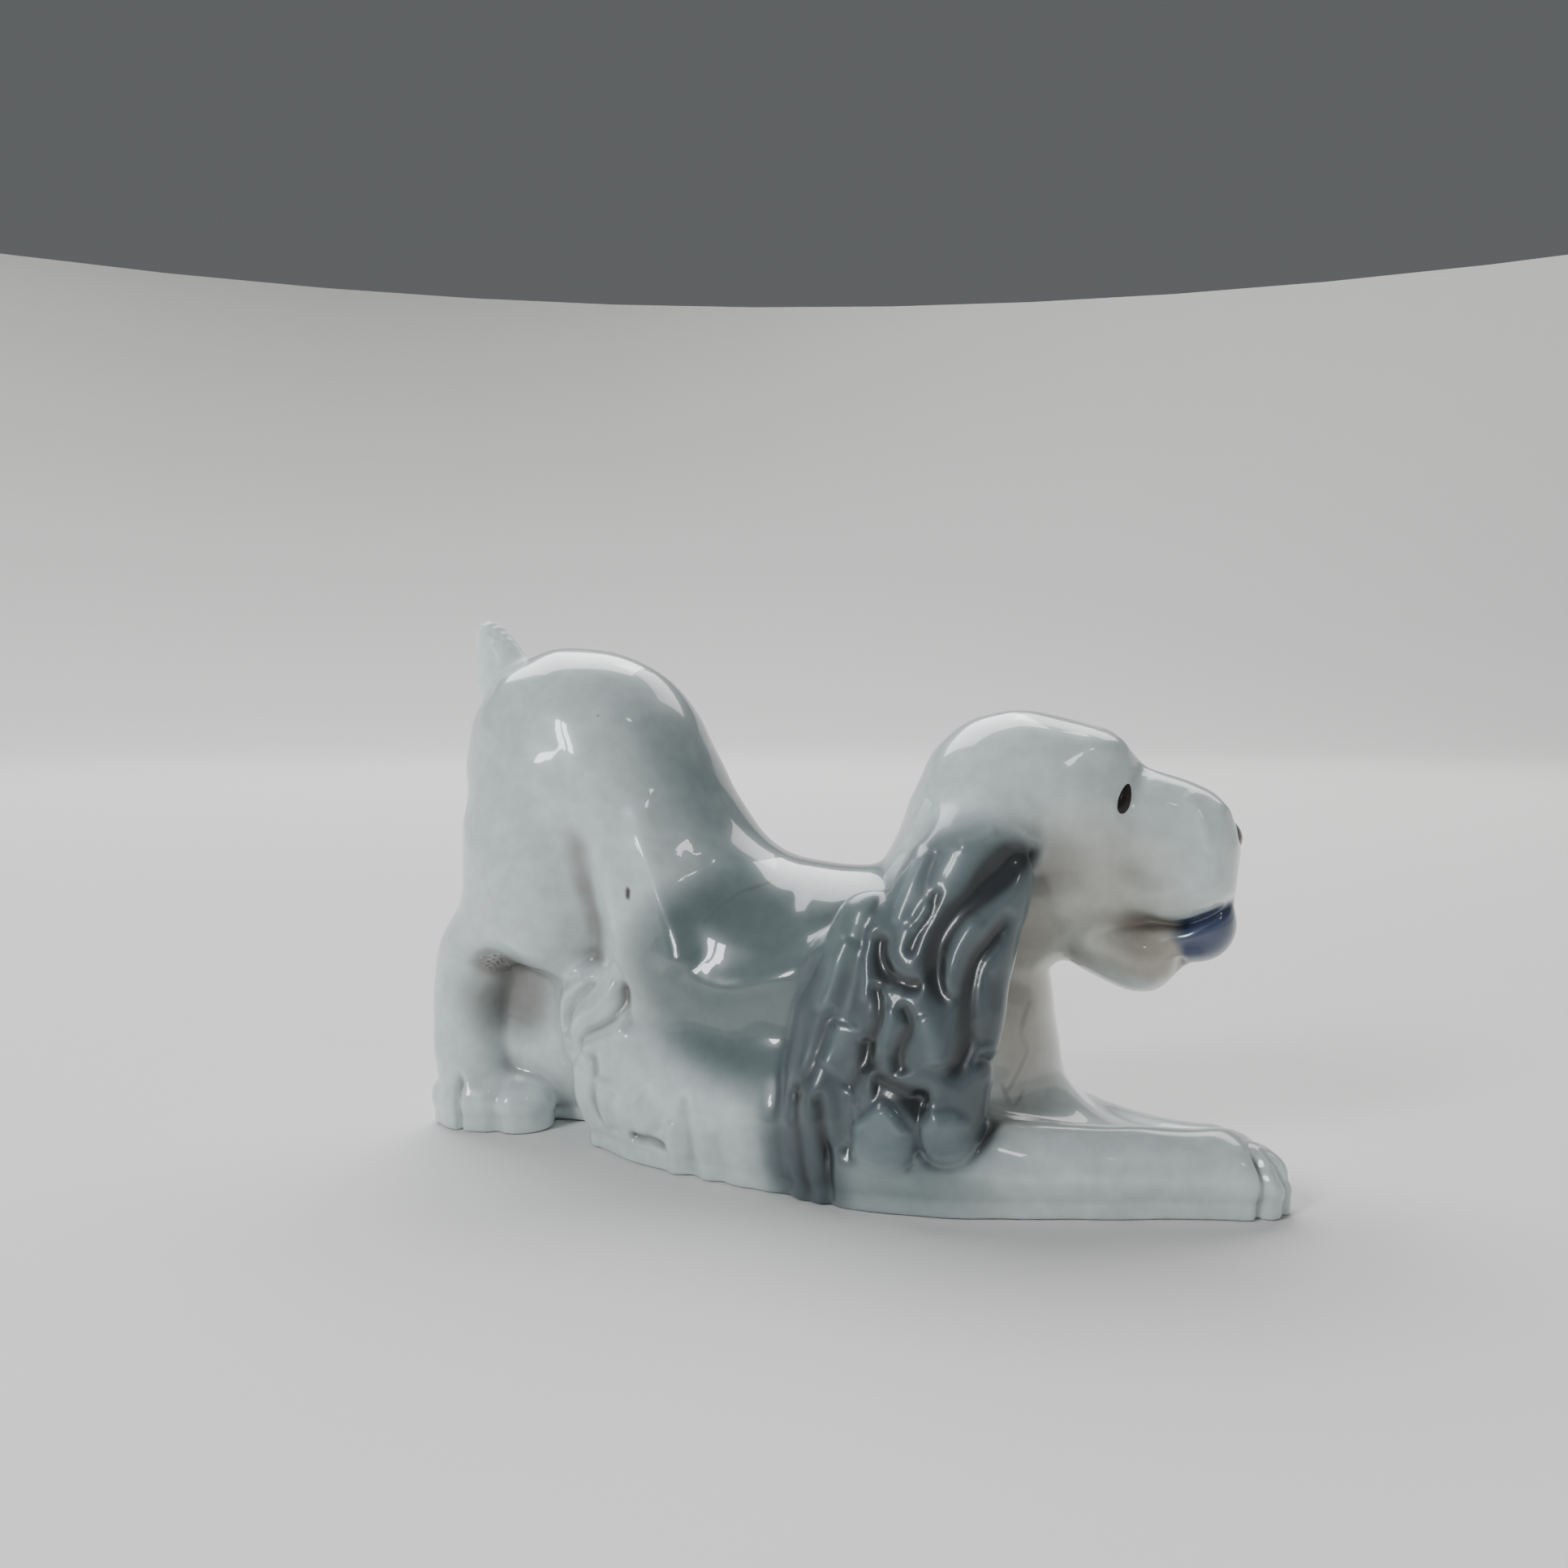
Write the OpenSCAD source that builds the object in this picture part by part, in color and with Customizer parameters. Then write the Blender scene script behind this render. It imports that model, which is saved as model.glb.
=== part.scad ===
// Glazed ceramic figurine of a long-eared spaniel in a play bow: hindquarters up,
// chest and forearms on the table, head up. Millimetres, +X is the nose, +Y the dog's left.
// The origin is on the table, at the centre of the footprint.
// Every lump of clay is a run of eggs (ellipsoids) with a hull between neighbours. Where two
// lumps are luted together, the later one is cut back to the face of the earlier one.

/* [Figure] */
// Length from the heels to the tips of the forepaws
figure_length = 60; // [45:1:90]
// Facets round each egg
smoothness = 20; // [14:2:24]

/* [Pose] */
// Turn of the head towards the dog's left, in degrees
head_turn = 7; // [0:1:12]
// How far each ear stands out from the neck
ear_spread = 0; // [0:0.1:0.8]
// Height of the docked tail above the rump
tail_height = 4; // [3:0.1:6]

/* [Enamel] */
// How far the painted eyes and nose stand proud of the glaze
enamel_relief = 0.25; // [0.15:0.01:0.4]

/* [Hidden] */

k = figure_length / 60;   // the eggs below are those of a figure 60 long

porcelain = [0.86, 0.88, 0.88];
grey_glaze = [0.42, 0.47, 0.50];
blue_glaze = [0.25, 0.30, 0.45];
enamel = [0.10, 0.06, 0.05];

// Eggs are [x, y, z, half length, half width, half height], on the dog's right where there is
// one for each side.
trunk = [
    [-21.6, 0, 26.4, 7.7, 7.3, 8.1],   // rump
    [-18.6, 0, 25.2, 7.1, 7.7, 8.3],
    [-15.8, 0, 20.4, 6.7, 7.7, 7.6],   // loin
    [-11.2, 0, 15.0, 6.6, 8.3, 6.8],   // waist
    [-5.2, 0, 11.9, 7.0, 9.0, 7.4],
    [0.8, 0, 10.6, 7.4, 9.4, 8.4],     // chest
    [6.4, 0, 8.6, 7.3, 8.8, 8.4]
];
neck_and_skull = [
    [5.6, 0, 14.6, 5.6, 6.4, 5.6],     // where the neck sits on the chest
    [8.0, 0, 18.8, 5.4, 6.4, 5.0],
    [9.8, 0, 24.0, 4.9, 6.3, 6.1],     // back of the skull
    [13.2, 0, 24.6, 5.4, 6.4, 5.6],
    [16.0, 0, 24.7, 3.8, 5.4, 4.7]     // brow
];
cheek = [
    [8.6, 0, 16.2, 4.6, 6.2, 4.8],
    [12.8, 0, 18.2, 4.4, 5.9, 4.6],
    [16.6, 0, 19.6, 3.8, 5.2, 4.2]
];
muzzle = [
    [16.4, 0, 22.6, 3.8, 5.2, 4.6],
    [19.4, 0, 22.0, 3.2, 4.6, 4.7],
    [21.8, 0, 21.2, 3.0, 4.3, 4.9],
    [23.2, 0, 21.0, 2.7, 4.1, 4.5]     // nose end
];
lips = [
    [17.6, 0, 19.6, 3.4, 4.9, 2.5],
    [20.6, 0, 18.8, 3.2, 4.5, 2.3],
    [23.1, 0, 19.2, 2.6, 4.0, 2.1]
];
jaw = [
    [16.2, 0, 16.0, 2.6, 4.2, 2.6],
    [18.4, 0, 14.9, 2.3, 3.7, 2.6],
    [20.0, 0, 14.3, 2.0, 3.2, 2.3],
    [21.4, 0, 15.4, 1.7, 2.7, 1.9]
];
tongue_eggs = [
    [20.8, 0, 16.8, 1.6, 2.6, 1.6],
    [22.6, 0, 16.2, 1.9, 2.8, 2.2],
    [23.6, 0, 16.6, 2.2, 2.8, 2.5]
];
ear = [
    [10.9, -5.9, 23.4, 3.4, 1.8, 2.3],   // root
    [10.0, -7.2, 20.2, 4.3, 2.1, 3.2],
    [8.6, -8.9, 15.5, 4.9, 2.4, 3.6],
    [7.6, -10.3, 10.5, 5.2, 2.5, 3.8],
    [7.4, -11.4, 6.4, 4.8, 2.4, 3.6]      // hem above the elbow
];
ear_rear_lock = [
    [4.2, -8.4, 15.4, 2.9, 2.3, 3.6],
    [2.4, -9.8, 9.8, 2.8, 2.4, 4.0],
    [1.9, -11.5, 4.2, 2.6, 2.4, 4.6]
];
tail_base = [-27.2, 0, 32.2, 2.6, 2.1, 2.4];
tail_tip = [1.3, 1.0, 1.0];
shoulder = [
    [4.0, -6.2, 8.2, 4.2, 3.0, 4.2],
    [5.8, -9.2, 3.4, 3.8, 3.2, 3.2]      // elbow
];
right_forearm = [
    [5.0, -10.8, 2.4, 3.6, 3.2, 2.8],
    [10.5, -10.1, 2.5, 3.4, 3.2, 2.7],
    [16.5, -7.9, 2.4, 3.2, 3.1, 2.6],
    [22.0, -5.7, 2.3, 3.0, 2.9, 2.5],
    [26.5, -4.4, 2.3, 3.5, 2.9, 2.6]     // paw
];
left_forearm = [
    [5.0, -10.2, 2.3, 3.4, 3.0, 2.6],
    [10.5, -7.8, 2.2, 3.2, 3.0, 2.3],
    [15.6, -4.4, 1.9, 3.0, 2.9, 1.9],
    [20.4, -1.8, 1.7, 2.8, 2.7, 1.7],
    [24.4, -0.8, 1.7, 3.2, 2.7, 1.9]     // paw, tucked behind the other
];
foreleg_fill = [
    [8.5, 0, 3.8, 5.0, 6.0, 4.0],
    [14.5, -0.8, 1.8, 4.0, 4.6, 2.0],
    [19.5, -1.6, 1.5, 3.6, 3.0, 1.7]
];
thigh = [
    [-21.8, -3.7, 24.6, 6.2, 4.9, 5.8],  // hip
    [-22.2, -4.7, 20.4, 6.1, 4.3, 5.4],
    [-22.4, -4.9, 15.8, 5.4, 3.9, 4.2]   // stifle
];
shank = [
    [-23.4, -4.9, 14.8, 4.6, 3.5, 3.5],
    [-27.3, -4.6, 12.6, 3.2, 3.1, 3.6],  // hock
    [-28.1, -4.6, 8.0, 2.7, 2.8, 3.4],
    [-27.9, -4.6, 4.2, 2.7, 2.8, 3.0]
];
hind_paw = [
    [-27.2, -4.9, 1.9, 3.3, 3.0, 2.4],
    [-24.2, -4.6, 1.7, 3.0, 2.8, 2.0]
];
hind_fill = [
    [-26.6, 0, 8.2, 2.8, 4.6, 8.2],
    [-22.6, 0, 7.6, 3.0, 4.4, 7.6],
    [-18.6, 0, 7.6, 3.0, 4.2, 7.6]
];
skirt = [
    [-15.6, -4.6, 5.2, 3.2, 3.6, 5.4],
    [-11.4, -6.4, 3.6, 3.2, 3.7, 5.4],
    [-6.6, -7.6, 3.4, 3.2, 3.8, 5.2],
    [-1.6, -8.6, 3.4, 3.2, 3.9, 5.2]
];
groin_tuft = [
    [-16.2, -4.8, 9.4, 2.6, 2.6, 3.2],
    [-17.9, -4.0, 8.6, 2.4, 2.4, 3.0]
];
eye_at = [18.7, -3.75, 24.9];
eye_half = [0.6, 0.4, 1.1];
nose_at = [25.5, 0, 22.4];
nose_half = [0.35, 1.2, 0.75];
centre_x = 0.4;           // brings the middle of the footprint over the origin
neck_x = 9;               // the head turns about an upright axis here
left_ear_back = 1;        // the left ear was luted on this much further back
table = 100;              // half size of the block that trims each foot flat

// The whole figure at its real size, over the origin
module placed() scale(k) translate([centre_x, 0, 0]) children();

// One egg of a figure 60 long
module egg(e) {
    translate([e[0], e[1], e[2]])
        scale([e[3], e[4], e[5]])
            sphere(1, $fn = smoothness);
}

// A run of eggs with a hull between neighbours
module run(eggs) {
    for (i = [0 : len(eggs) - 2])
        hull() {
            egg(eggs[i]);
            egg(eggs[i + 1]);
        }
}

// Half way eggs are added by a Catmull-Rom rule, so that a run bends smoothly
function between(a, b, c, d) = (9 * (b + c) - a - d) / 16;
function at(eggs, i) = eggs[max(0, min(len(eggs) - 1, i))];
function smooth(eggs) = [
    for (i = [0 : 2 * len(eggs) - 2])
        let (j = floor(i / 2))
            i % 2 == 0 ? eggs[j]
                       : between(at(eggs, j - 1), at(eggs, j), at(eggs, j + 1), at(eggs, j + 2))
];

// Trims whatever reaches below the table
module on_table() {
    difference() {
        children();
        translate([0, 0, -table]) cube(2 * table, center = true);
    }
}

// Mirrors the right side's clay to the left
module side(left) {
    if (left) mirror([0, 1, 0]) children();
    else children();
}

module right_half_only() {
    difference() {
        children();
        translate([0, table, 0]) cube(2 * table, center = true);
    }
}

module turned() {
    translate([neck_x, 0, 0]) rotate([0, 0, head_turn]) translate([-neck_x, 0, 0]) children();
}

module trunk_form() run(smooth(trunk));
module head_form() {
    turned() {
        run(smooth(neck_and_skull));
        run(cheek);
        run(smooth(muzzle));
        run(lips);
    }
}
module jaw_form() turned() run(smooth(jaw));
module tongue_form() turned() run(smooth(tongue_eggs));
module foreleg_form(left) {
    side(left) {
        run(shoulder);
        run(smooth(left ? left_forearm : right_forearm));
    }
}
module hind_leg_form(left) {
    side(left) {
        run(smooth(thigh));
        run(smooth(shank));
        run(hind_paw);
    }
}
module ear_form(left) {
    side(left) translate([left ? -left_ear_back : 0, -ear_spread, 0]) {
        run(smooth(ear));
        run(smooth(ear_rear_lock));
    }
}
// The skirt of belly hair is filled through to the middle of the body
module skirt_form(left) {
    side(left) {
        for (i = [0 : len(skirt) - 2])
            hull()
                for (e = [skirt[i], skirt[i + 1]]) {
                    egg(e);
                    egg([e[0], -0.1, e[2] - 0.5, e[3], 0.1, e[5] - 0.5]);
                }
        run(groin_tuft);
    }
}

module torso() {
    color(porcelain) placed() on_table() trunk_form();
}

module head() {
    color(porcelain) placed() difference() {
        head_form();
        trunk_form();
    }
}

module lower_jaw() {
    color(porcelain) placed() difference() {
        jaw_form();
        head_form();
        trunk_form();
    }
}

module tongue() {
    color(blue_glaze) placed() difference() {
        tongue_form();
        head_form();
        jaw_form();
    }
}

// A dot of enamel standing proud of the head
module enamel_dot(centre, half, outwards) {
    color(enamel) placed() difference() {
        turned() translate(centre + outwards * enamel_relief / k) egg([0, 0, 0, half[0], half[1], half[2]]);
        head_form();
    }
}

module eye(left) {
    s = left ? -1 : 1;
    enamel_dot([eye_at[0], s * eye_at[1], eye_at[2]], eye_half, [0, -s, 0]);
}

module nose() enamel_dot(nose_at, nose_half, [1, 0, 0]);

module one_ear(left) {
    color(grey_glaze) placed() on_table() difference() {
        ear_form(left);
        head_form();
        trunk_form();
        foreleg_form(left);
        skirt_form(left);
    }
}

module tail() {
    tip = [tail_base[0] - 1.7, 0, tail_base[2] + tail_height, tail_tip[0], tail_tip[1], tail_tip[2]];
    color(porcelain) placed() difference() {
        run(smooth([tail_base, tip]));
        trunk_form();
        hind_leg_form(false);
        hind_leg_form(true);
    }
}

module foreleg(left) {
    color(porcelain) placed() on_table() difference() {
        foreleg_form(left);
        trunk_form();
        skirt_form(left);
        head_form();
    }
}

module foreleg_web() {
    color(porcelain) placed() on_table() difference() {
        run(foreleg_fill);
        trunk_form();
        foreleg_form(false);
        foreleg_form(true);
    }
}

module hind_leg(left) {
    color(porcelain) placed() on_table() difference() {
        side(left) right_half_only() hind_leg_form(false);
        trunk_form();
    }
}

module hind_leg_web() {
    color(porcelain) placed() on_table() difference() {
        run(hind_fill);
        trunk_form();
        for (left = [false, true]) {
            hind_leg_form(left);
            skirt_form(left);
        }
    }
}

module feathering(left) {
    color(porcelain) placed() on_table() difference() {
        side(left) right_half_only() skirt_form(false);
        trunk_form();
        hind_leg_form(left);
    }
}

torso();
head();
lower_jaw();
tongue();
nose();
eye(false);  // right_eye
eye(true);  // left_eye
one_ear(false);  // right_ear
one_ear(true);  // left_ear
tail();
foreleg(false);  // right_foreleg
foreleg(true);  // left_foreleg
foreleg_web();
hind_leg(false);  // right_hind_leg
hind_leg(true);  // left_hind_leg
hind_leg_web();
feathering(false);  // right_feathering
feathering(true);  // left_feathering
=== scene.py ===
"""A glazed porcelain spaniel in a play bow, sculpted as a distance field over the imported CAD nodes.

The CAD nodes are read as distance fields, joined, and smoothed into one skin as a glaze would be. Hair,
toes and the face are then carved into that field. The skin is cut along the CAD seams into one closed
piece for each node. All sculpting is in millimetres, and the meshes are made in metres.
"""
import functools
import math

import bmesh
import bpy
import numpy as np
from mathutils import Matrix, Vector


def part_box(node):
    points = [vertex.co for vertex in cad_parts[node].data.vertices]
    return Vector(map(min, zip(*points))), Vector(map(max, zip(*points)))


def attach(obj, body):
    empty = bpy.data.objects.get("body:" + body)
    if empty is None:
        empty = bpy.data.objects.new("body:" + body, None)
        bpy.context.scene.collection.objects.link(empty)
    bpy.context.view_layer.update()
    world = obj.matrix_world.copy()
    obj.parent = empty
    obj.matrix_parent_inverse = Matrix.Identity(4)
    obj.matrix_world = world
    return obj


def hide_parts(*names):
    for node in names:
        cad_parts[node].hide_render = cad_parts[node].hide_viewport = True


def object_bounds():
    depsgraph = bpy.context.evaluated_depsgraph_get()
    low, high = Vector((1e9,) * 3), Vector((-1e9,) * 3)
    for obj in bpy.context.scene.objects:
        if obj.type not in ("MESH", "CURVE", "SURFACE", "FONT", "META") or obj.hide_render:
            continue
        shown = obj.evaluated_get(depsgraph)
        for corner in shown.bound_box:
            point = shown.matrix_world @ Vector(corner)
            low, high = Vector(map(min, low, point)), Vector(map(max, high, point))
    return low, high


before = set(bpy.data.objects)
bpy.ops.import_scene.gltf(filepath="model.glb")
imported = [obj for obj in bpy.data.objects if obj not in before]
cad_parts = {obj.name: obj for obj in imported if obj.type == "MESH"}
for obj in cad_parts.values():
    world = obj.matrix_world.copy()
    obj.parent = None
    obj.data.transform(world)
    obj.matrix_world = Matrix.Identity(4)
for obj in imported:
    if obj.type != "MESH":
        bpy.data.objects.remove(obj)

import openvdb as vdb
from mathutils import Vector

cad_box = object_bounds()

MM = 1000.0
VOXEL = 0.165    # of the carved skin; the CAD is read at twice this
BAND = 4.0                               # how far from a surface distances are kept
CARVED = 1.2                             # how far from the skin the carving works
FIRM_BLUR, SOFT_BLUR = 0.42, 1.15        # radii of the rounding of edges and of broad forms
SOFT_SHRINK = -0.12                      # puts back what the wide blur takes off the round forms
SEAM_FILLET = 0.3                        # between any two lumps
BODY_FOLDS = {"foreleg_web": 4.5, "right_feathering": 3.5, "left_feathering": 3.5}
EAR_FOLD = 1.1                           # between an ear and what lies under it
FOOT_HEIGHT, FOOT_EDGE = 1.2, 0.35       # the feet go straight down from here, to a rounded edge

SEAM_ORDER = ["tail", "right_ear", "left_ear", "tongue", "lower_jaw", "head", "right_hind_leg",
              "left_hind_leg", "hind_leg_web", "right_foreleg", "left_foreleg", "foreleg_web",
              "right_feathering", "left_feathering", "torso"]
SLOT = {"tail": "tail_glaze", "right_ear": "ear_glaze", "left_ear": "ear_glaze",
        "tongue": "tongue_glaze", "right_eye": "enamel", "left_eye": "enamel", "nose": "enamel"}


# ---------------------------------------------------------------- places, from the CAD boxes

@functools.lru_cache(maxsize=None)
def box(node):
    low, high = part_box(node)
    return np.array(low) * MM, np.array(high) * MM


def place(node, u, v, w):
    """The point at those fractions of a node's box, in millimetres."""
    low, high = box(node)
    return low + np.array([u, v, w]) * (high - low)


# ---------------------------------------------------------------- fields on a grid

class Field:
    """Signed distances in millimetres at the points of a regular grid, negative inside."""

    def __init__(self, low, step, values):
        self.low, self.step, self.values = low, step, values

    def points(self, index):
        return [self.low[a] + self.step * index[a].astype(np.float32) for a in range(3)]

    def sample(self, points):
        """The field at any points, by trilinear interpolation."""
        shape = np.array(self.values.shape)
        q = np.clip((points - self.low) / self.step, 0, shape - 1.001)
        i = q.astype(np.int32)
        f = (q - i).astype(np.float32)
        total = np.zeros(len(points), np.float32)
        for corner in range(8):
            o = np.array([corner & 1, corner >> 1 & 1, corner >> 2 & 1])
            weight = np.prod(np.where(o, f, 1 - f), axis=1)
            j = i + o
            total += weight * self.values[j[:, 0], j[:, 1], j[:, 2]]
        return total

    def gradient(self, points):
        """Unit normals of the field at any points."""
        h = self.step
        normal = np.empty((len(points), 3), np.float32)
        for a in range(3):
            shift = np.zeros(3)
            shift[a] = h
            normal[:, a] = self.sample(points + shift) - self.sample(points - shift)
        return normal / np.maximum(np.linalg.norm(normal, axis=1, keepdims=True), 1e-9)

    def mesh(self):
        """Points and quads of the zero surface."""
        grid = vdb.FloatGrid(background=BAND)
        grid.copyFromArray(self.values, tolerance=0.0)
        points, quads = grid.convertToQuads(isovalue=0.0)
        return points * self.step + self.low, quads


def blur(values, sigma):
    """A Gaussian blur, sigma in grid steps."""
    reach = int(math.ceil(3 * sigma))
    taps = np.exp(-0.5 * (np.arange(-reach, reach + 1) / sigma) ** 2)
    taps = (taps / taps.sum()).astype(np.float32)
    for axis in range(3):
        padding = [(reach, reach) if a == axis else (0, 0) for a in range(3)]
        padded = np.pad(values, padding, mode="edge")
        values = np.zeros_like(values)
        for k, tap in enumerate(taps):
            window = [slice(None)] * 3
            window[axis] = slice(k, k + values.shape[axis])
            values += tap * padded[tuple(window)]
    return values


def refine(field):
    """The same field on a grid twice as fine, by cubic interpolation."""
    values = field.values
    for axis in range(3):
        v = np.moveaxis(values, axis, 0)
        before, after = np.concatenate([v[:1], v[:-1]]), np.concatenate([v[1:], v[-1:]])
        further = np.concatenate([v[2:], v[-1:], v[-1:]])
        halfway = (9 * (v + after) - before - further) / 16
        out = np.empty((2 * v.shape[0] - 1,) + v.shape[1:], np.float32)
        out[0::2], out[1::2] = v, halfway[:-1]
        values = np.moveaxis(out, 0, axis)
    return Field(field.low, field.step / 2, np.ascontiguousarray(values))


def read_node(node, low, step, shape):
    """The distance field of one CAD node."""
    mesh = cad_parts[node].data
    points = np.empty(3 * len(mesh.vertices), np.float32)
    mesh.vertices.foreach_get("co", points)
    mesh.calc_loop_triangles()
    triangles = np.empty(3 * len(mesh.loop_triangles), np.int32)
    mesh.loop_triangles.foreach_get("vertices", triangles)
    local = (points.reshape(-1, 3) * MM - low) / step
    grid = vdb.FloatGrid.createLevelSetFromPolygons(
        local, triangles=triangles.reshape(-1, 3).astype(np.uint32), halfWidth=BAND / step)
    values = np.empty(shape, np.float32)
    grid.copyToArray(values)
    return np.clip(values * step, -BAND, BAND)


def smooth_min(a, b, k):
    """The nearer of two surfaces, with a fillet about k wide between them."""
    h = np.maximum(k - np.abs(a - b), 0) / k
    return np.minimum(a, b) - h * h * k / 4


def smooth_max(a, b, k):
    return -smooth_min(-a, -b, k)


def ramp(x, start, end):
    """0 before start, 1 after end, smooth between."""
    t = np.clip((x - start) / (end - start), 0, 1)
    return t * t * (3 - 2 * t)


def to_path(x, z, path):
    """Distance from (x, z) to a line through the path's points, and how far along it is, 0 to 1."""
    best = np.full(x.shape, np.inf, np.float32)
    along = np.zeros(x.shape, np.float32)
    steps = len(path) - 1
    for i in range(steps):
        (ax, az), (bx, bz) = path[i], path[i + 1]
        dx, dz = bx - ax, bz - az
        t = np.clip(((x - ax) * dx + (z - az) * dz) / (dx * dx + dz * dz), 0, 1)
        d = np.hypot(x - ax - t * dx, z - az - t * dz)
        nearer = d < best
        best = np.where(nearer, d, best)
        along = np.where(nearer, (i + t) / steps, along)
    return best, along


def curve(points, steps=3):
    """A Catmull-Rom curve through a few points."""
    p = [points[0]] + list(points) + [points[-1]]
    out = []
    for a, b, c, d in zip(p, p[1:], p[2:], p[3:]):
        for s in range(steps):
            t = s / steps
            out.append(tuple(
                0.5 * (2 * q + (r - o) * t + (2 * o - 5 * q + 4 * r - s3) * t * t
                       + (3 * q - 3 * r + s3 - o) * t ** 3)
                for o, q, r, s3 in zip(a, b, c, d)))
    return out + [tuple(points[-1])]


# ---------------------------------------------------------------- the joined skin

def read_all():
    """Every node's field on one coarse grid."""
    step = 2 * VOXEL
    margin = 1.5
    low = np.array(cad_box[0]) * MM - margin
    high = np.array(cad_box[1]) * MM + margin
    shape = tuple(int(n) for n in np.ceil((high - low) / step) + 1)
    return {node: Field(low, step, read_node(node, low, step, shape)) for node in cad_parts}


def joined_skin(nodes):
    """The lumps of clay under one coat of glaze: firm edges on ears, jaw and feet, soft folds elsewhere."""
    step = nodes["torso"].step
    lumps = [nodes[n].values for n in SEAM_ORDER]
    solid = lumps[0]
    for lump in lumps[1:]:
        solid = smooth_min(solid, lump, SEAM_FILLET)
    for node, fold in BODY_FOLDS.items():
        blend = smooth_min(nodes["torso"].values, nodes[node].values, fold)
        solid = smooth_min(solid, blend, 1.0)
    for side in ("right_", "left_"):
        for node in (side + "foreleg", side + "feathering", "torso"):
            blend = smooth_min(nodes[side + "ear"].values, nodes[node].values, EAR_FOLD)
            solid = smooth_min(solid, blend, SEAM_FILLET)
    firm = blur(solid, FIRM_BLUR / step)
    soft = blur(solid, SOFT_BLUR / step)
    share = blur(ramp(near_detail(nodes), 0.3, 2.2), 0.6 / step)
    return Field(nodes["torso"].low, step, firm + (soft + SOFT_SHRINK - firm) * share)


def near_detail(nodes):
    """Distance from the places that keep firm edges: ears, muzzle, jaw, tail, forearms and hind feet."""
    x, z = grid_axis(nodes["torso"], 0), grid_axis(nodes["torso"], 2)
    head = box("head")
    muzzle = nodes["head"].values + 4 * ramp(x, head[1][0] - 5.5, head[1][0] - 8.0)
    ears = np.minimum(nodes["right_ear"].values, nodes["left_ear"].values)
    ears = ears + 4 * ramp(z, 0.62 * head[1][2], 0.80 * head[1][2])
    crisp = np.minimum.reduce([nodes[n].values for n in ("lower_jaw", "tongue", "tail")] + [muzzle, ears])
    legs = np.minimum(nodes["right_foreleg"].values, nodes["left_foreleg"].values)
    legs = legs + 4 * ramp(x, 20.0, 15.0)
    hind = np.minimum(nodes["right_hind_leg"].values, nodes["left_hind_leg"].values)
    hind = hind + 4 * ramp(z, 8.0, 13.0)
    return np.minimum(np.minimum(crisp, legs), hind)


def grid_axis(field, axis):
    """The coordinate of each grid point along one axis, ready to broadcast."""
    shape = [1, 1, 1]
    shape[axis] = -1
    values = field.low[axis] + field.step * np.arange(field.values.shape[axis], dtype=np.float32)
    return values.reshape(shape)


# ---------------------------------------------------------------- carving

class Clay:
    """The points near the skin, which the carving works on, and their distances."""

    def __init__(self, skin, nodes):
        self.skin, self.nodes = skin, nodes
        self.near = np.nonzero(np.abs(skin.values) < CARVED)
        self.x, self.y, self.z = skin.points(self.near)
        self.d = skin.values[self.near]

    def zone(self, low, high):
        """Indices of the points inside a box, and their coordinates."""
        i = np.nonzero((self.x > low[0]) & (self.x < high[0]) & (self.y > low[1]) & (self.y < high[1])
                       & (self.z > low[2]) & (self.z < high[2]))[0]
        return i, self.x[i], self.y[i], self.z[i]

    def about(self, node, reach):
        """Indices and coordinates of the points on a node, and how much they belong to it, 0 to 1."""
        low, high = box(node)
        i, x, y, z = self.zone(low - reach, high + reach)
        here = ramp(self.nodes[node].sample(np.stack([x, y, z], axis=1)), reach, 0.35 * (reach - 0.85))
        keep = here > 0
        return i[keep], x[keep], y[keep], z[keep], here[keep]

    def done(self):
        self.skin.values[self.near] = self.d
        return self.skin


def path_in(node, points):
    """A path given as fractions of a node's length and height, in millimetres."""
    return curve([tuple(place(node, u, 0, w)[[0, 2]]) for u, w in points])


def lines(x, z, node, strokes, widen=1.0):
    """Relief of strokes of the modelling tool: each is (its path, half widths at both ends, height)."""
    total = np.zeros(x.shape, np.float32)
    for points, (start, end), height in strokes:
        off, along = to_path(x, z, path_in(node, points))
        half = widen * (start + (end - start) * along)
        fade = np.clip(np.minimum(along, 1 - along) / 0.12, 0, 1)
        total += height * fade * np.exp(-(off / half) ** 2)
    return total


def dents(x, z, node, marks):
    """Relief of single dabs: each is (its centre, half sizes in millimetres, height)."""
    total = np.zeros(x.shape, np.float32)
    for (u, w), (half_x, half_z), height in marks:
        cx, _, cz = place(node, u, 0, w)
        total += height * np.exp(-((x - cx) / half_x) ** 2 - ((z - cz) / half_z) ** 2)
    return total


class Drawing:
    """Relief that depends on x and z alone, worked out on a fine flat grid and then looked up."""

    def __init__(self, node, relief, step=0.1):
        low, high = box(node)
        self.low, self.step = low[[0, 2]] - 3, step
        count = ((high[[0, 2]] + 3 - self.low) / step).astype(int) + 2
        x, z = np.meshgrid(*[self.low[a] + step * np.arange(count[a]) for a in range(2)], indexing="ij")
        self.values = relief(x, z, node).astype(np.float32)

    def at(self, x, z):
        q = [np.clip((v - self.low[a]) / self.step, 0, self.values.shape[a] - 1.001)
             for a, v in enumerate((x, z))]
        i, j = q[0].astype(np.int32), q[1].astype(np.int32)
        u, w = q[0] - i, q[1] - j
        near = self.values[i, j] * (1 - u) + self.values[i + 1, j] * u
        far = self.values[i, j + 1] * (1 - u) + self.values[i + 1, j + 1] * u
        return near * (1 - w) + far * w


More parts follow.
